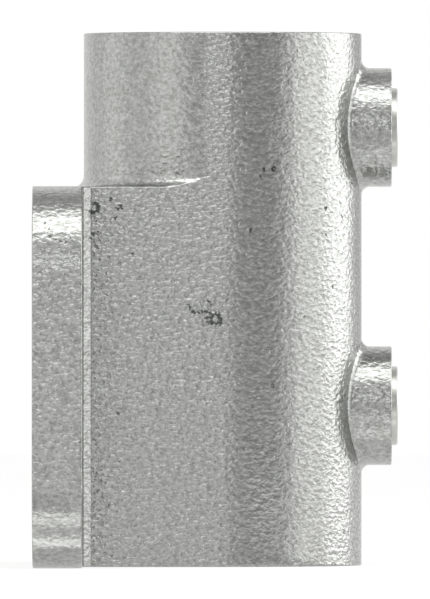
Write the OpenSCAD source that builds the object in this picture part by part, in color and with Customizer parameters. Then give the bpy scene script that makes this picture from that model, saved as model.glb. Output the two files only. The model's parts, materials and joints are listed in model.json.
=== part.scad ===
// Tube wall flange: a galvanised iron casting that holds an upright tube against a wall.
// A four hole plate bolts to the wall, and two set screws clamp the tube in the socket.
// Millimetres. X leaves the wall, Z runs up the tube, and the origin lies on the wall face
// at the centre of the four bolt holes.

/* [Tube socket] */
// Bore of the socket, for a tube of 48.3 mm
bore_d = 49.5; // [43.5:0.5:56]
// Thickness of the socket wall
socket_wall = 4.5; // [3.5:0.25:7]
// Height of the socket, from the foot to the upper rim
socket_h = 112; // [105:1:150]
// Countersink at both mouths of the bore
bore_chamfer = 0.8; // [0.3:0.1:1.5]

/* [Wall plate] */
// Width of the plate along the wall
plate_w = 130; // [124:1:170]
// Height of the plate and of the web in front of it
plate_h = 79.6; // [70:0.2:90]
// Thickness of the plate
plate_t = 10.4; // [7:0.2:14]
// Radius of the plate's corners
plate_corner_r = 18; // [8:1:24]
// Diameter of the wall bolt holes
bolt_hole_d = 14; // [9:0.5:16]
// Distance of each bolt hole from the two nearest edges of the plate
bolt_hole_inset = 18; // [15:0.5:20]

/* [Screw bosses] */
// Diameter of the two bosses
boss_d = 25; // [23:0.5:30]
// How far a boss stands out of the socket
boss_reach = 6.3; // [4.5:0.1:10]
// Upper boss below the rim of the socket
upper_boss_drop = 19.8; // [17:0.2:24]
// Distance between the two bosses
boss_pitch = 58.6; // [44:0.2:64]

/* [Fillets] */
// Fillet of the plate, web and socket
casting_fillet = 2.5; // [1:0.1:4]
// Fillet round the foot of each boss
boss_fillet = 1.9; // [1:0.1:3]

/* [Set screws] */
// Diameter over the thread, 3/8 inch pipe size
screw_d = 16.6; // [12:0.1:17]
// Length of a set screw
screw_len = 11.8; // [8:0.1:12]
// How far a screw stands out of its boss
screw_proud = 1.25; // [0:0.05:3]
// Hexagon socket, across flats
hex_af = 8; // [5:0.5:10]
// Depth of the hexagon socket
hex_depth = 6; // [3:0.5:7]
// Mouth of the cup point that bites the tube
cup_d = 9; // [6:0.5:11]
// Depth of the cup point
cup_depth = 1.6; // [0.8:0.1:2.5]
// Bevel of the screw's outer end
screw_bevel = 0.4; // [0.2:0.1:0.8]
// Taper of the screw's inner end
point_bevel = 1.2; // [0.6:0.1:2]
// Running clearance between screw and hole, on the radius
screw_clearance = 0.06; // [0.03:0.01:0.1]

/* [Hidden] */
$fn = 96;

bore_r = bore_d / 2;
socket_r = bore_r + socket_wall;
// the back of the socket is flush with the front of the plate
tube_x = plate_t + socket_r;
foot_z = -plate_h / 2;
web_top_z = plate_h / 2;
rim_z = foot_z + socket_h;
boss_r = boss_d / 2;
boss_face_x = tube_x + socket_r + boss_reach;
upper_boss_z = rim_z - upper_boss_drop;
lower_boss_z = upper_boss_z - boss_pitch;
screw_r = screw_d / 2;
tapped_r = screw_r + screw_clearance;
screw_face_x = boss_face_x + screw_proud;
hole_y = plate_w / 2 - bolt_hole_inset;
hole_z = plate_h / 2 - bolt_hole_inset;

// overshoot of cutters, and depth to which added metal is rooted in its carrier
over = 5;
root = 1.2;
// a fillet's edges end this far under the surfaces that it joins
seat = 0.05;

// Square corner at the origin, hollowed by an arc of radius r that is tangent to both walls
module fillet_corner(r) {
    difference() {
        translate([-root, -root]) square(r + root);
        translate([r, r]) circle(r);
    }
}

// Casting seen from above: plate, web with straight flanks, and the round front of the socket
module plan_outline() {
    translate([0, -plate_w / 2 - over]) square([plate_t, plate_w + 2 * over]);
    translate([0, -socket_r]) square([tube_x, 2 * socket_r]);
    translate([tube_x, 0]) circle(socket_r);
    for (side = [0, 1])
        mirror([0, side])
            translate([plate_t, socket_r]) fillet_corner(casting_fillet);
}

// Plate seen from the front, in the XY plane, with X as width and Y as height
module plate_outline() {
    straight_w = plate_w - 2 * plate_corner_r;
    straight_h = plate_h - 2 * plate_corner_r;
    square([straight_w, plate_h], center = true);
    square([plate_w, straight_h], center = true);
    for (sx = [-1, 1], sy = [-1, 1])
        translate([sx * straight_w / 2, sy * straight_h / 2]) circle(plate_corner_r);
}

// Lays an XY outline in the YZ plane and extrudes it along X
module extrude_from_wall(depth) {
    rotate([90, 0, 90]) linear_extrude(depth) children();
}

// Plate and web: the plan, trimmed to the plate's outline
module plate_and_web() {
    intersection() {
        translate([0, 0, foot_z - over]) linear_extrude(plate_h + 2 * over) plan_outline();
        extrude_from_wall(tube_x + socket_r + over) plate_outline();
    }
}

// Socket with the fillet between it and the top of the web, which ends just inside the flanks
module tube_socket() {
    flank_y = socket_r - 2 * seat;
    union() {
        translate([tube_x, 0, foot_z]) cylinder(r = socket_r, h = socket_h);
        intersection() {
            translate([tube_x, 0, web_top_z])
                rotate_extrude() translate([socket_r, 0]) fillet_corner(casting_fillet);
            translate([0, -flank_y, foot_z]) cube([tube_x - root, 2 * flank_y, socket_h]);
        }
    }
}

// Where a ball of radius f rolls between boss and barrel, at the angle a round the boss
function ball_centre(a, f, rb, rs) =
    let (y = (rb + f) * cos(a), z = (rb + f) * sin(a))
    [sqrt(pow(rs + f, 2) - y * y), y, z];

// One section of the rolling ball fillet: the arc between both contacts, then a root in the metal
function fillet_section(a, f, rb, rs, steps) =
    let (
        c = ball_centre(a, f, rb, rs),
        to_boss = [0, -cos(a), -sin(a)],
        to_barrel = [-c[0], -c[1], 0] / (rs + f),
        sweep = acos(to_boss * to_barrel),
        root_y = (rb - root) * cos(a)
    )
    concat(
        [for (i = [0:steps])
            let (t = i / steps)
            c + f * (to_boss * sin((1 - t) * sweep) + to_barrel * sin(t * sweep)) / sin(sweep)],
        [[sqrt(rs * rs - root_y * root_y) - root, root_y, (rb - root) * sin(a)]]
    );

// Fillet round the foot of a boss, where its cylinder meets the socket's. X runs out of the boss.
module boss_foot_fillet() {
    stations = 48;
    steps = 6;
    ring = steps + 2;
    points = [for (s = [0:stations - 1])
        each fillet_section(360 * s / stations, boss_fillet, boss_r - seat, socket_r - seat, steps)];
    faces = [for (s = [0:stations - 1], i = [0:ring - 1])
        let (
            a = s * ring + i,
            b = s * ring + (i + 1) % ring,
            c = ((s + 1) % stations) * ring + (i + 1) % ring,
            d = ((s + 1) % stations) * ring + i
        )
        each [[a, c, b], [a, d, c]]];
    polyhedron(points, faces);
}

// One boss with its fillet, at the height z
module screw_boss(z) {
    translate([tube_x, 0, z]) {
        rotate([0, 90, 0]) cylinder(r = boss_r, h = socket_r + boss_reach);
        boss_foot_fillet();
    }
}

// Bore of the socket, with both mouths countersunk
module tube_bore() {
    translate([tube_x, 0, foot_z]) {
        translate([0, 0, -over]) cylinder(r = bore_r, h = socket_h + 2 * over);
        translate([0, 0, -over])
            cylinder(r1 = bore_r + bore_chamfer + over, r2 = bore_r, h = bore_chamfer + over);
        translate([0, 0, socket_h - bore_chamfer])
            cylinder(r1 = bore_r, r2 = bore_r + bore_chamfer + over, h = bore_chamfer + over);
    }
}

// Hole for a set screw, from the bore out through the boss
module tapped_hole(z) {
    translate([tube_x, 0, z]) rotate([0, 90, 0]) cylinder(r = tapped_r, h = socket_r + boss_reach + over);
}

module bolt_holes() {
    for (sy = [-1, 1], sz = [-1, 1])
        translate([-over, sy * hole_y, sz * hole_z])
            rotate([0, 90, 0]) cylinder(d = bolt_hole_d, h = plate_t + 2 * over);
}

module flange_body() {
    color([0.63, 0.64, 0.62])
        difference() {
            union() {
                tube_socket();
                plate_and_web();
                screw_boss(upper_boss_z);
                screw_boss(lower_boss_z);
            }
            tube_bore();
            tapped_hole(upper_boss_z);
            tapped_hole(lower_boss_z);
            bolt_holes();
        }
}

// Half section of a set screw, from its cup point at the origin to its outer face
module screw_profile() {
    polygon([
        [0, cup_depth],
        [cup_d / 2, 0],
        [screw_r - point_bevel, 0],
        [screw_r, point_bevel],
        [screw_r, screw_len - screw_bevel],
        [screw_r - screw_bevel, screw_len],
        [0, screw_len]
    ]);
}

module set_screw(z) {
    hex_r = hex_af / sqrt(3);
    color([0.72, 0.71, 0.67])
        translate([screw_face_x - screw_len, 0, z])
            rotate([0, 90, 0])
                difference() {
                    rotate_extrude() screw_profile();
                    translate([0, 0, screw_len - hex_depth]) cylinder(r = hex_r, h = hex_depth + over, $fn = 6);
                }
}

flange_body();
set_screw(upper_boss_z);  // upper_set_screw
set_screw(lower_boss_z);  // lower_set_screw
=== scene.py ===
import json
import math
import bpy
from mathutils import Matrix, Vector


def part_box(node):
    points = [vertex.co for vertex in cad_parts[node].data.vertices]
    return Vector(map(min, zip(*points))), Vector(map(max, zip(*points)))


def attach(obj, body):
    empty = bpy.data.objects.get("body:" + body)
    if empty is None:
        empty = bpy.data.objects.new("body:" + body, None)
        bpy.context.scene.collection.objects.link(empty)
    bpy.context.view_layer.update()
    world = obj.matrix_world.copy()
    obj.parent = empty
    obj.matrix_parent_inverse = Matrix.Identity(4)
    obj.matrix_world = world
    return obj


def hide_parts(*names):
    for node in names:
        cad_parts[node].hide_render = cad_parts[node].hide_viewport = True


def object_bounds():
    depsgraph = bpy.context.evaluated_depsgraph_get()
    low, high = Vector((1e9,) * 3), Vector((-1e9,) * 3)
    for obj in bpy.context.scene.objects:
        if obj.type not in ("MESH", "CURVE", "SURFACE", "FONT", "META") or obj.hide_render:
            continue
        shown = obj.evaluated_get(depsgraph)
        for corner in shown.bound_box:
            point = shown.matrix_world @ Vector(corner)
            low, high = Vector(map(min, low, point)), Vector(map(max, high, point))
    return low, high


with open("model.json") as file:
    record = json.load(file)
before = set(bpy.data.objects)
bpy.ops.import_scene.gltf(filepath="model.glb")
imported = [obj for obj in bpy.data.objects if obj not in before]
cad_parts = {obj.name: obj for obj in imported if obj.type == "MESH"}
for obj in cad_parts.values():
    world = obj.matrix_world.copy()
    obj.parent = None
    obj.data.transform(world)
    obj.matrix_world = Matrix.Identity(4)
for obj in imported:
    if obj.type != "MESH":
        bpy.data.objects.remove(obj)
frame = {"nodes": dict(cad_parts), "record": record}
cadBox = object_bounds()
print("frame loaded:", sorted(frame["nodes"]))

bpy.context.scene.view_settings.view_transform = "Standard"
mm = 0.001
footHeight = cadBox[0].z


# one node with its settings and links: a key that is a socket's name or number takes a value or another socket
def addNode(tree, kind, settings=None, **links):
    node = tree.nodes.new(kind)
    for name, value in (settings or {}).items():
        setattr(node, name, value)
    for name, value in links.items():
        key = int(name[1:]) if name[1:].isdigit() else name.replace("_", " ")
        socket = node.inputs[key]
        if isinstance(value, bpy.types.NodeSocket):
            tree.links.new(value, socket)
        else:
            socket.default_value = value
    return node


# an sRGB hex value as the linear colour that a shader takes
def hexColour(text):
    channels = [int(text[i:i + 2], 16) / 255 for i in (1, 3, 5)]
    linear = [c / 12.92 if c <= 0.04045 else ((c + 0.055) / 1.055) ** 2.4 for c in channels]
    return (*linear, 1.0)


def newMaterial(name):
    material = bpy.data.materials.new(name)
    material.use_nodes = True
    material.node_tree.nodes.clear()
    return material, material.node_tree


slack = 0.02 * mm       # places closer than this count as one
weld = 0.001 * mm       # corners closer than this are merged


# deselects everything, then selects one object and makes it active
def pickOnly(piece):
    bpy.ops.object.select_all(action="DESELECT")
    piece.select_set(True)
    bpy.context.view_layer.objects.active = piece


# adds a modifier with its settings and applies it
def applyModifier(piece, kind, **settings):
    pickOnly(piece)
    modifier = piece.modifiers.new(kind.lower(), kind)
    for name, value in settings.items():
        setattr(modifier, name, value)
    bpy.ops.object.modifier_apply(modifier=modifier.name)


# joins a second piece to the first or cuts it out, and clears it away
def combine(piece, tool, operation):
    applyModifier(piece, "BOOLEAN", object=tool, operation=operation, solver="MANIFOLD")
    bpy.data.objects.remove(tool)


# puts a piece's place into its mesh
def settle(piece):
    pickOnly(piece)
    bpy.ops.object.transform_apply(location=True, rotation=True, scale=True)


# camera, square to the side of the part
photo = {
    "width": 430,             # pixels
    "height": 599,
    "pixelsPerMm": 4.76,      # from the set screws, 79.3 pixels across
    "wallPixel": 34.0,        # the plate's back face
    "footPixel": 565.9,       # the foot of the casting
    "lens": 1200,             # so long that the view is as good as parallel, as in the photograph
    "sensor": 36,             # the camera's own width of picture, in the lens's units
    "clipEnd": 12,            # metres
    "truePlane": -12 * mm,    # where the scale is exact, between the socket's axis and the plate's near end
}
viewCentre = Vector((
    (photo["width"] / 2 - photo["wallPixel"]) / photo["pixelsPerMm"] * mm,
    photo["truePlane"],
    footHeight + (photo["footPixel"] - photo["height"] / 2) / photo["pixelsPerMm"] * mm,
))
longSide = photo["height"] / photo["pixelsPerMm"] * mm
bpy.ops.object.camera_add(location=viewCentre - Vector((0, longSide / photo["sensor"] * photo["lens"], 0)),
                          rotation=(math.pi / 2, 0, 0))
camera = bpy.context.object
camera.name = "sideCamera"
camera.data.lens = photo["lens"]
camera.data.clip_end = photo["clipEnd"]
bpy.context.scene.camera = camera
print("camera stands", round(-camera.location.y, 2), "m off")

# studio, in degrees and metres: turn 0 is towards the camera, 90 is to the photograph's right, lift is upwards
# a lamp's level is what it adds to the white room in a mirror, and a sheet's is what a mirror shows of it
studio = {
    "overhead": {"turn": 0, "lift": 66, "size": (1.3, 0.50), "distance": 0.9, "level": 2.0},
    "sideKey": {"turn": 112, "lift": 12, "size": (0.58, 1.0), "distance": 0.9, "level": 1.9},
    "sideFill": {"turn": 78, "lift": 12, "size": (0.54, 1.0), "distance": 1.0, "level": 0.9},
    "leftFill": {"turn": -45, "lift": 12, "size": (0.46, 1.0), "distance": 1.0, "level": 0.32},
    "rearFill": {"turn": -102, "lift": 12, "size": (0.40, 1.0), "distance": 1.0, "level": 0.32},
    "browLamp": {"turn": -1, "lift": 14, "size": (0.34, 0.16), "distance": 1.0, "level": 1.6},
}
cards = {       # upright grey sheets, for the darker stripes down the metal
    "frontCard": {"turn": 27, "lift": 4, "size": (0.98, 1.2), "distance": 1.1, "level": 0.50},
    "leftCard": {"turn": -18, "lift": 4, "size": (0.52, 1.2), "distance": 1.1, "level": 0.68},
    "rimCard": {"turn": 152, "lift": 4, "size": (0.50, 1.2), "distance": 1.1, "level": 0.72},
    "topCard": {"turn": 180, "lift": 68, "size": (1.3, 0.7), "distance": 1.1, "level": 0.60},
}
partCentre = (cadBox[0] + cadBox[1]) / 2


# a point seen from the part, and the direction to it
def studioPoint(turn, lift, distance):
    turn, lift = math.radians(turn), math.radians(lift)
    out = Vector((math.sin(turn) * math.cos(lift), -math.cos(turn) * math.cos(lift), math.sin(lift)))
    return partCentre + out * distance, out


for name, light in studio.items():
    place, out = studioPoint(light["turn"], light["lift"], light["distance"])
    bpy.ops.object.light_add(type="AREA", location=place)
    lamp = bpy.context.object
    lamp.name = name
    lamp.rotation_euler = out.to_track_quat("Z", "Y").to_euler()
    lamp.data.shape = "RECTANGLE"
    lamp.data.size, lamp.data.size_y = light["size"]
    lamp.data.energy = light["level"] * light["size"][0] * light["size"][1] * math.pi     # watts for that level
    lamp.visible_camera = False

floorStrips = {     # lying near the part, for the bands round the plate's lower corner and under the bosses
    "farStrip": {"middle": (-10 * mm, -235 * mm), "size": (40 * mm, 170 * mm), "level": 1.25},
    "dimStrip": {"middle": (-10 * mm, -112 * mm), "size": (40 * mm, 73 * mm), "level": 0.82},
    "nearStrip": {"middle": (-9 * mm, -71.4 * mm), "size": (42 * mm, 7.4 * mm), "level": 1.75},
    "underStrip": {"middle": (-9 * mm, -60.0 * mm), "size": (42 * mm, 3.0 * mm), "level": 1.9},
    "upperBossStrip": {"middle": (86 * mm, -82 * mm), "size": (42 * mm, 42 * mm), "level": 1.65},
    "lowerBossStrip": {"middle": (77 * mm, -34 * mm), "size": (18 * mm, 16 * mm), "level": 1.65},
}
floorSheet = {"turn": 27, "length": 1.1, "halfWidth": 0.46, "level": 0.82}      # three-cornered, under the front card
sheetRise = 0.5 * mm    # above the casting's foot
stripRise = 0.8 * mm    # so that the strips lie over the floor sheet


# makes the active sheet one that only the metal's reflections show
def onlyMirrored(name, level):
    sheet = bpy.context.object
    sheet.name = name
    sheetMaterial, tree = newMaterial(name + "Paper")
    shade = addNode(tree, "ShaderNodeEmission", Color=(1, 1, 1, 1), Strength=level)
    addNode(tree, "ShaderNodeOutputMaterial", Surface=shade.outputs[0])
    sheet.data.materials.append(sheetMaterial)
    sheet.visible_camera = False
    sheet.visible_diffuse = False
    sheet.visible_shadow = False


# a flat sheet of a size, at a place
def addSheet(name, size, level, place, turned=(0, 0, 0)):
    bpy.ops.object.select_all(action="DESELECT")
    bpy.ops.mesh.primitive_plane_add(size=1, location=place, rotation=turned)
    bpy.context.object.scale = (*size, 1)
    settle(bpy.context.object)
    onlyMirrored(name, level)


for name, card in cards.items():
    place, out = studioPoint(card["turn"], card["lift"], card["distance"])
    addSheet(name, card["size"], card["level"], place, out.to_track_quat("Z", "Y").to_euler())
for name, strip in floorStrips.items():
    addSheet(name, strip["size"], strip["level"], (*strip["middle"], footHeight + stripRise))

# a circle of three corners, stretched until it reaches from the part out to the front card: its middle lies
# two thirds of the way out, and its height is 1.5 times its radius
place, out = studioPoint(floorSheet["turn"], 0, floorSheet["length"] * 2 / 3)
bpy.ops.object.select_all(action="DESELECT")
bpy.ops.mesh.primitive_circle_add(
    vertices=3, radius=1, fill_type="NGON", location=(place.x, place.y, footHeight + sheetRise),
    rotation=(0, 0, math.radians(floorSheet["turn"])))
bpy.context.object.scale = (floorSheet["halfWidth"] / math.sin(math.radians(60)), floorSheet["length"] / 1.5, 1)
settle(bpy.context.object)
onlyMirrored("floorSheet", floorSheet["level"])

world = bpy.data.worlds.new("whiteStudio")
bpy.context.scene.world = world
world.use_nodes = True
worldTree = world.node_tree
worldTree.nodes.clear()
sky = addNode(worldTree, "ShaderNodeBackground", Color=(1, 1, 1, 1), Strength=1.0)
addNode(worldTree, "ShaderNodeOutputWorld", Surface=sky.outputs[0])

# floor
paleFloor = {
    "size": 6,
    "drop": 0.02 * mm,      # so that it doesn't lie in the casting's foot
    "colour": "#F8F8F7",
    "ownLight": 0.75,       # how much of it the camera and the metal see as plain white, over its shadows
}
bpy.ops.object.select_all(action="DESELECT")
bpy.ops.mesh.primitive_plane_add(
    size=paleFloor["size"], location=(partCentre.x, partCentre.y, footHeight - paleFloor["drop"]))
floor = bpy.context.object
floor.name = "paleFloor"
# matte white paper: it melts into the white room and keeps the part's soft shadow
floorMaterial, tree = newMaterial("matteWhitePaper")
paper = addNode(tree, "ShaderNodeBsdfDiffuse", Color=hexColour(paleFloor["colour"]))
glow = addNode(tree, "ShaderNodeEmission", Color=(1, 1, 1, 1), Strength=1.0)
rays = addNode(tree, "ShaderNodeLightPath")
mirrored = addNode(tree, "ShaderNodeMath", {"operation": "MAXIMUM"},
                   _0=rays.outputs["Is Glossy Ray"], _1=rays.outputs["Is Transmission Ray"])
either = addNode(tree, "ShaderNodeMath", {"operation": "MAXIMUM"},
                 _0=rays.outputs["Is Camera Ray"], _1=mirrored.outputs[0])
seen = addNode(tree, "ShaderNodeMath", {"operation": "MULTIPLY"}, _0=either.outputs[0], _1=paleFloor["ownLight"])
blend = addNode(tree, "ShaderNodeMixShader", _0=seen.outputs[0], _1=paper.outputs[0], _2=glow.outputs[0])
addNode(tree, "ShaderNodeOutputMaterial", Surface=blend.outputs[0])
floor.data.materials.append(floorMaterial)
print("studio set")

# sizes of the casting, as its solid has them: its specks and its edges go by them
castingSizes = {
    "plate": 10.4 * mm,         # thickness of the plate
    "cornerRadius": 18 * mm,    # of the plate, seen from the front
    "fillet": 2.5 * mm,         # between the plate and the web
}
tubeAxis = next(mount["pos_m"][0] for mount in frame["record"]["mounts"] if mount["name"] == "tube_bore")
socketRadius = tubeAxis - castingSizes["plate"]     # and half the width of the web
webTop = -footHeight                                # the plate's middle is at height 0

# hot-dip galvanised iron: a soft mirror, whose close wrinkles break what it reflects into a pebbled grain
finish = {
    "wrinkleSize": 1.22 * mm,
    "wrinkleDepth": 0.18 * mm,
    "wrinkleFlat": 1.45,        # how much wider than high
    "frostSize": 0.77 * mm,     # a finer grain, in the tone alone
    "warp": 0.3,                # how far both are drawn out of true
    "frostShare": 0.5,
    # the ramp's dark end is partly painted shade in the wrinkles' hollows and its light end partly painted light on
    # their crests; the rest is the frost's random grain
    "darkGrainAndHollowShade": "#8F908C",
    "lightGrainAndCrestLight": "#B5B6B3",
    "darkUpTo": 0.34,           # of the grain's height
    "lightFrom": 0.66,
    "roughness": 0.22,
}
galvanised, tree = newMaterial("hotDipGalvanisedIron")
place = addNode(tree, "ShaderNodeTexCoord").outputs["Object"]
flow = addNode(tree, "ShaderNodeMapping", Vector=place, Scale=(1, 1, finish["wrinkleFlat"])).outputs[0]
wrinkle = addNode(tree, "ShaderNodeTexNoise", Vector=flow, Scale=1 / finish["wrinkleSize"],
                  Detail=1.5, Distortion=finish["warp"])
ripple = addNode(tree, "ShaderNodeBump", Height=wrinkle.outputs[0], Strength=1.0, Distance=finish["wrinkleDepth"])
frost = addNode(tree, "ShaderNodeTexNoise", Vector=flow, Scale=1 / finish["frostSize"],
                Detail=1.0, Distortion=finish["warp"])
# painted shade of the wrinkles: the tone mixes their height, which makes their crests lighter and their hollows
# darker, with the frost's random grain
grainAndWrinkleShade = addNode(tree, "ShaderNodeMix", {"data_type": "FLOAT"},
                _0=finish["frostShare"], _2=wrinkle.outputs[0], _3=frost.outputs[0])
toneAndWrinkleShade = addNode(tree, "ShaderNodeValToRGB", _0=grainAndWrinkleShade.outputs[0])
toneAndWrinkleShade.color_ramp.elements[0].position = finish["darkUpTo"]
toneAndWrinkleShade.color_ramp.elements[0].color = hexColour(finish["darkGrainAndHollowShade"])
toneAndWrinkleShade.color_ramp.elements[1].position = finish["lightFrom"]
toneAndWrinkleShade.color_ramp.elements[1].color = hexColour(finish["lightGrainAndCrestLight"])

# dark dross specks, each with its place on the side that the camera sees, and a few strewn over the rest
dross = {
    "spots": [                  # x and z on the part, and radius, in mm
        (32.5, 15.2, 0.32), (33.0, 14.4, 0.36), (33.5, 13.6, 0.40), (34.5, 13.5, 0.34), (35.3, 13.7, 0.38),
        (36.1, 13.6, 0.42), (37.0, 13.2, 0.42), (36.4, 12.3, 0.40), (36.6, 11.3, 0.42), (36.8, 15.8, 0.34),
        (37.1, 15.0, 0.28), (16.1, 37.1, 0.34), (18.4, 35.6, 0.48), (17.5, 35.2, 0.32), (17.2, 33.3, 0.34),
        (12.6, 29.9, 0.40), (13.5, 30.2, 0.34), (11.7, 28.8, 0.38), (20.8, 25.7, 0.30), (25.4, 31.6, 0.28),
        (50.2, 43.6, 0.46), (48.1, 43.6, 0.36), (47.7, 41.9, 0.30), (45.6, 30.6, 0.40), (61.3, 35.4, 0.44),
        (61.3, 29.7, 0.40), (64.3, 36.6, 0.38), (64.7, 33.3, 0.34), (57.4, 24.0, 0.32), (62.8, 19.0, 0.32),
        (56.9, 12.5, 0.28), (50.0, -2.0, 0.32), (17.9, -7.7, 0.34), (17.9, -17.6, 0.34),
        (2.7, 32.0, 0.28), (3.6, 31.0, 0.24), (3.1, 29.9, 0.18), (3.8, 29.2, 0.22), (4.5, 28.9, 0.20),
        (5.2, 28.7, 0.24), (6.0, 28.3, 0.24), (6.9, 28.2, 0.22), (8.0, 29.0, 0.20), (9.0, 29.4, 0.18),
    ],
    "hooks": [                  # x, z, radius and size in mm, then the arc in degrees and the count of spots
        (38.1, 12.1, 1.05, 0.42, -200, 120, 9),
        (12.5, 35.3, 1.0, 0.44, -150, 75, 7),
    ],
    "raggedSize": 0.71 * mm,    # of what makes their outlines uneven, and how far it pulls them
    "raggedPull": 1.5 * mm,
    "colour": "#3C3F3A",
    "core": 0.8,                # of a spot's radius, dark all over
    "fade": 1.4,                # of a spot's radius, where it ends
    "strength": 0.9,
    "strewnApart": 17 * mm,
    "strewnSize": 0.5 * mm,
    "strewnBeyond": -20 * mm,   # none are strewn on the side that has the placed ones
}


# where a spot lies on the plate's corner, on the web's flank or on the socket
def onCasting(x, z):
    x, z = x * mm, z * mm
    if x < castingSizes["plate"]:
        radius = castingSizes["cornerRadius"]
        rise = z - (webTop - radius)
        return Vector((x, cadBox[0].y + radius - math.sqrt(radius ** 2 - rise ** 2), z))
    beyond = x - tubeAxis
    if z < webTop:
        beyond = max(beyond, 0)
    return Vector((x, -math.sqrt(socketRadius ** 2 - beyond ** 2), z))


ragged = addNode(tree, "ShaderNodeTexNoise", Vector=place, Scale=1 / dross["raggedSize"], Detail=1.0)
pull = addNode(tree, "ShaderNodeVectorMath", {"operation": "SUBTRACT"}, _0=ragged.outputs[1], _1=(0.5, 0.5, 0.5))
spread = addNode(tree, "ShaderNodeVectorMath", {"operation": "MULTIPLY_ADD"},
                 _0=pull.outputs[0], _1=(dross["raggedPull"],) * 3, _2=place).outputs[0]
hookSpots = [(x + radius * math.cos(math.radians(turn)), z + radius * math.sin(math.radians(turn)), size)
             for x, z, radius, size, first, last, count in dross["hooks"]
             for turn in (first + (last - first) * i / (count - 1) for i in range(count))]
nearest = None
for x, z, size in dross["spots"] + hookSpots:
    gap = addNode(tree, "ShaderNodeVectorMath", {"operation": "DISTANCE"}, _0=spread, _1=onCasting(x, z))
    share = addNode(tree, "ShaderNodeMath", {"operation": "DIVIDE"}, _0=gap.outputs["Value"], _1=size * mm).outputs[0]
    nearest = share if nearest is None else addNode(
        tree, "ShaderNodeMath", {"operation": "MINIMUM"}, _0=nearest, _1=share).outputs[0]
strewn = addNode(tree, "ShaderNodeTexVoronoi", Vector=spread, Scale=1 / dross["strewnApart"])
far = addNode(tree, "ShaderNodeSeparateXYZ", _0=place)
seenSide = addNode(tree, "ShaderNodeMath", {"operation": "LESS_THAN"}, _0=far.outputs["Y"],
                   _1=dross["strewnBeyond"])
strewnShare = addNode(tree, "ShaderNodeMath", {"operation": "MULTIPLY_ADD"}, _0=strewn.outputs["Distance"],
                      _1=dross["strewnApart"] / dross["strewnSize"], _2=seenSide.outputs[0])
nearest = addNode(tree, "ShaderNodeMath", {"operation": "MINIMUM"}, _0=nearest, _1=strewnShare.outputs[0])
speck = addNode(tree, "ShaderNodeMapRange", Value=nearest.outputs[0], From_Min=dross["core"], From_Max=dross["fade"],
                To_Min=dross["strength"], To_Max=0.0)
coat = addNode(tree, "ShaderNodeMix", {"data_type": "RGBA"}, _0=speck.outputs[0], _6=toneAndWrinkleShade.outputs[0],
               _7=hexColour(dross["colour"]))
metal = addNode(tree, "ShaderNodeBsdfPrincipled", Base_Color=coat.outputs[2], Metallic=1.0,
                Roughness=finish["roughness"], Normal=ripple.outputs[0])
addNode(tree, "ShaderNodeOutputMaterial", Surface=metal.outputs[0])

# zinc-plated steel: smoother and lighter than the casting, so that the screws stand out from it
plating = {"colour": "#BCBCB7", "roughness": 0.28}
zinc, tree = newMaterial("zincPlatedSteel")
metal = addNode(tree, "ShaderNodeBsdfPrincipled", Base_Color=hexColour(plating["colour"]), Metallic=1.0,
                Roughness=plating["roughness"])
addNode(tree, "ShaderNodeOutputMaterial", Surface=metal.outputs[0])
print("materials made")

# casting: its solid, with the edges rounded as the zinc leaves them
castingEdges = {
    "edgeRound": 0.3 * mm,      # how far the dipped zinc rounds the sharp edges
    "roundSteps": 3,
    "sharpFrom": 35,            # degrees between two faces
    "smoothUpTo": 40,
    "flatWithin": 0.3,          # faces this nearly flat are made one
    "filletFrom": 27.367 * mm,  # where the fillet round the socket leaves the web's flanks
    "ledgeHeight": 2.6 * mm,    # of that fillet, and how far it ends inside the flanks
    "ledgeInset": 0.11 * mm,
    "stripWide": 1.7 * mm,      # the strip that the fillet beside the plate is flattened to, along the web
    "stripDeep": 1.5 * mm,      # and along the plate
}
casting = bpy.data.objects.new("galvanisedCasting", frame["nodes"]["flange_body"].data.copy())
bpy.context.scene.collection.objects.link(casting)
pickOnly(casting)
bpy.ops.object.mode_set(mode="EDIT")
bpy.ops.mesh.select_mode(type="EDGE")
bpy.ops.mesh.select_all(action="SELECT")
bpy.ops.mesh.remove_doubles(threshold=weld)
# the solid's fillet on top of the web ends just inside the flanks: it is brought flush with them
bpy.ops.mesh.bisect(plane_co=(castingEdges["filletFrom"], 0, 0), plane_no=(1, 0, 0))
bpy.ops.object.mode_set(mode="OBJECT")
for vertex in casting.data.vertices:
    inwards = socketRadius - abs(vertex.co.y)
    if (castingEdges["filletFrom"] - slack < vertex.co.x < tubeAxis
            and -slack < vertex.co.z - webTop < castingEdges["ledgeHeight"]
            and 0 < inwards < castingEdges["ledgeInset"]):
        vertex.co.y = math.copysign(socketRadius, vertex.co.y)
bpy.ops.object.mode_set(mode="EDIT")
bpy.ops.mesh.select_all(action="SELECT")
bpy.ops.mesh.remove_doubles(threshold=slack)
bpy.ops.mesh.dissolve_degenerate(threshold=slack)
bpy.ops.mesh.select_all(action="SELECT")
bpy.ops.mesh.dissolve_limited(angle_limit=math.radians(castingEdges["flatWithin"]))
bpy.ops.object.mode_set(mode="OBJECT")
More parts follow.
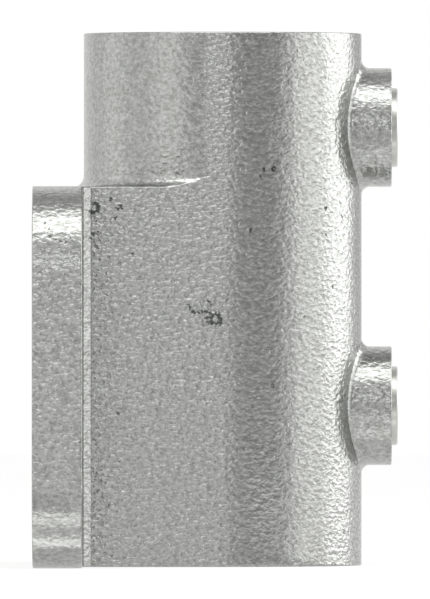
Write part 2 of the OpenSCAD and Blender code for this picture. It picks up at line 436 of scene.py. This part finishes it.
# the fillet between plate and web shows as one narrow light strip: its arc is flattened, by about 0.2 mm
for vertex in casting.data.vertices:
    onWeb = castingSizes["fillet"] - (vertex.co.x - castingSizes["plate"])
    onPlate = castingSizes["fillet"] - (abs(vertex.co.y) - socketRadius)
    if abs(math.hypot(onWeb, onPlate) - castingSizes["fillet"]) < slack and min(onWeb, onPlate) > -slack:
        share = math.atan2(onWeb, onPlate) / (math.pi / 2)
        vertex.co.x = castingSizes["plate"] + (1 - share) * castingEdges["stripWide"]
        vertex.co.y = math.copysign(socketRadius + share * castingEdges["stripDeep"], vertex.co.y)
bpy.ops.object.mode_set(mode="EDIT")
bpy.ops.mesh.select_all(action="SELECT")
bpy.ops.mesh.dissolve_limited(angle_limit=math.radians(castingEdges["flatWithin"]))
bpy.ops.mesh.select_all(action="DESELECT")
bpy.ops.mesh.edges_select_sharp(sharpness=math.radians(castingEdges["sharpFrom"]))
bpy.ops.mesh.bevel(offset=castingEdges["edgeRound"], segments=castingEdges["roundSteps"], profile=0.5,
                   affect="EDGES", clamp_overlap=False)
bpy.ops.object.mode_set(mode="OBJECT")
bpy.ops.object.shade_smooth_by_angle(angle=math.radians(castingEdges["smoothUpTo"]))
applyModifier(casting, "WEIGHTED_NORMAL", mode="FACE_AREA", weight=100, keep_sharp=True)
casting.data.materials.clear()
casting.data.materials.append(galvanised)
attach(casting, "flange")
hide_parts("flange_body")
print("casting:", len(casting.data.polygons), "faces")

# set screws
setScrew = {
    "threadDiameter": 16.6 * mm,
    "pitch": 1.337 * mm,        # 19 threads to the inch
    "threadDepth": 0.8 * mm,
    "crestShare": 0.14,         # of the pitch, flat on the crest and again at the root
    "turnSteps": 72,
    "startTurns": 1.493,        # the cut falls between the thread's vertices, so it leaves no slivers
    "plainRim": 1.7 * mm,       # the thread runs out before the outer end
    "rimLap": 0.2 * mm,         # how far it still reaches into the rim
    "rimRound": 0.35 * mm,
    "pointBevel": 1.2 * mm,
    "cupDiameter": 9 * mm,
    "cupDepth": 1.6 * mm,
    "keyFlats": 8 * mm,
    "keyDepth": 6 * mm,
    "mouthBevel": 0.45 * mm,
    "mouthInset": 0.3 * mm,     # the bevel starts inside the hexagon's corners
    "drillDepth": 1.4 * mm,     # of the pointed bottom, below the hexagon
    "drillLap": 0.1 * mm,
    "drillShare": 0.82,         # of the hexagon's radius
    "smoothUpTo": 32,
}
screwLow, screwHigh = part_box("upper_set_screw")
screwLength = screwHigh.x - screwLow.x
screwRadius = setScrew["threadDiameter"] / 2
screwMiddle = (screwLow + screwHigh) / 2
lowerMiddle = sum(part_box("lower_set_screw"), Vector()) / 2
alongX = (0, math.pi / 2, 0)


# a cylinder or cone along X that starts at a distance from the screw's inner end
def screwBar(start, length, radius, farRadius=None, sides=96):
    farRadius = radius if farRadius is None else farRadius
    bpy.ops.object.select_all(action="DESELECT")
    bpy.ops.mesh.primitive_cone_add(
        vertices=sides, radius1=radius, radius2=farRadius, depth=length, rotation=alongX,
        location=(screwLow.x + start + length / 2, screwMiddle.y, screwMiddle.z))
    return bpy.context.object


# the thread: one tooth's outline, wound along the axis past both ends, then cut flat
turns = math.ceil((screwLength - setScrew["plainRim"]) / setScrew["pitch"]) + 2
rootRadius = screwRadius - setScrew["threadDepth"]
crestFlat = setScrew["pitch"] * setScrew["crestShare"]
flank = setScrew["pitch"] / 2 - crestFlat
bpy.ops.object.select_all(action="DESELECT")
bpy.ops.mesh.primitive_plane_add(size=1 * mm, location=(rootRadius, 0, 0))
screw = bpy.context.object
screw.name = "upperSetScrew"
bpy.ops.object.mode_set(mode="EDIT")
bpy.ops.mesh.select_mode(type="VERT")
bpy.ops.mesh.select_all(action="SELECT")
bpy.ops.mesh.merge(type="CENTER")
depth = setScrew["threadDepth"]
for outwards, along in ((0, crestFlat), (depth, flank), (0, crestFlat), (-depth, flank)):
    bpy.ops.mesh.extrude_vertices_move(TRANSFORM_OT_translate={"value": (outwards, 0, along)})
bpy.ops.object.mode_set(mode="OBJECT")
settle(screw)
applyModifier(screw, "SCREW", axis="Z", angle=math.tau, screw_offset=setScrew["pitch"], iterations=turns,
              steps=setScrew["turnSteps"], render_steps=setScrew["turnSteps"], use_merge_vertices=True,
              merge_threshold=weld)
bpy.ops.object.mode_set(mode="EDIT")
bpy.ops.mesh.select_all(action="SELECT")
bpy.ops.mesh.remove_doubles(threshold=weld)
threadStart = setScrew["startTurns"] * setScrew["pitch"]
bpy.ops.mesh.bisect(plane_co=(0, 0, threadStart), plane_no=(0, 0, 1), use_fill=True, clear_inner=True,
                    threshold=weld / 10)
bpy.ops.mesh.select_all(action="SELECT")
threadEnd = threadStart + screwLength - setScrew["plainRim"] + setScrew["rimLap"]
bpy.ops.mesh.bisect(plane_co=(0, 0, threadEnd), plane_no=(0, 0, 1), use_fill=True, clear_outer=True,
                    threshold=weld / 10)
bpy.ops.mesh.select_all(action="SELECT")
bpy.ops.mesh.normals_make_consistent(inside=False)
bpy.ops.object.mode_set(mode="OBJECT")
screw.rotation_euler = alongX
screw.location = (screwLow.x - threadStart, screwMiddle.y, screwMiddle.z)
settle(screw)
print("thread:", len(screw.data.polygons), "faces")

# the plain rim at the outer end, its corner rounded
rim = screwBar(screwLength - setScrew["plainRim"], setScrew["plainRim"], screwRadius)
bpy.ops.object.mode_set(mode="EDIT")
bpy.ops.mesh.select_mode(type="EDGE")
bpy.ops.mesh.select_all(action="DESELECT")
bpy.ops.object.mode_set(mode="OBJECT")
settle(rim)
for edge in rim.data.edges:
    edge.select = all(rim.data.vertices[i].co.x > screwHigh.x - slack for i in edge.vertices)
bpy.ops.object.mode_set(mode="EDIT")
bpy.ops.mesh.bevel(offset=setScrew["rimRound"], segments=4, profile=0.5, affect="EDGES")
bpy.ops.object.mode_set(mode="OBJECT")
combine(screw, rim, "UNION")

# the tapered point: what stands out of its cone is pulled in to it
for vertex in screw.data.vertices:
    across = vertex.co.yz - screwMiddle.yz
    limit = screwRadius - setScrew["pointBevel"] + max(vertex.co.x - screwLow.x, 0)
    if across.length > limit:
        vertex.co.yz = screwMiddle.yz + across * limit / across.length

# its cup, and the hexagon socket with a mouth bevelled at 45 degrees and a drilled bottom
past = 1 * mm       # how far the cutters stand out of the screw
tip = 0.01 * mm     # radius at their points
keyRadius = setScrew["keyFlats"] / math.sqrt(3)
mouthRadius = keyRadius - setScrew["mouthInset"]
mouthLength = setScrew["mouthBevel"] + past
cutters = [
    screwBar(-past, setScrew["cupDepth"] + past,
             setScrew["cupDiameter"] / 2 * (1 + past / setScrew["cupDepth"]), tip),
    screwBar(screwLength - setScrew["keyDepth"], setScrew["keyDepth"] + past, keyRadius, sides=6),
    screwBar(screwLength - setScrew["mouthBevel"], mouthLength, mouthRadius, mouthRadius + mouthLength),
    screwBar(screwLength - setScrew["keyDepth"] - setScrew["drillDepth"],
             setScrew["drillDepth"] + setScrew["drillLap"], tip, keyRadius * setScrew["drillShare"]),
]
for cutter in cutters:
    settle(cutter)
    combine(screw, cutter, "DIFFERENCE")
pickOnly(screw)
bpy.ops.object.shade_smooth_by_angle(angle=math.radians(setScrew["smoothUpTo"]))
screw.data.materials.clear()
screw.data.materials.append(zinc)

# the lower screw is the same piece with its own mesh
lowerScrew = bpy.data.objects.new("lowerSetScrew", screw.data.copy())
bpy.context.scene.collection.objects.link(lowerScrew)
lowerScrew.location = lowerMiddle - screwMiddle
settle(lowerScrew)
for piece, body, node in ((screw, "upper_screw", "upper_set_screw"), (lowerScrew, "lower_screw", "lower_set_screw")):
    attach(piece, body)
    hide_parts(node)
print("set screws:", len(screw.data.polygons), "faces each")
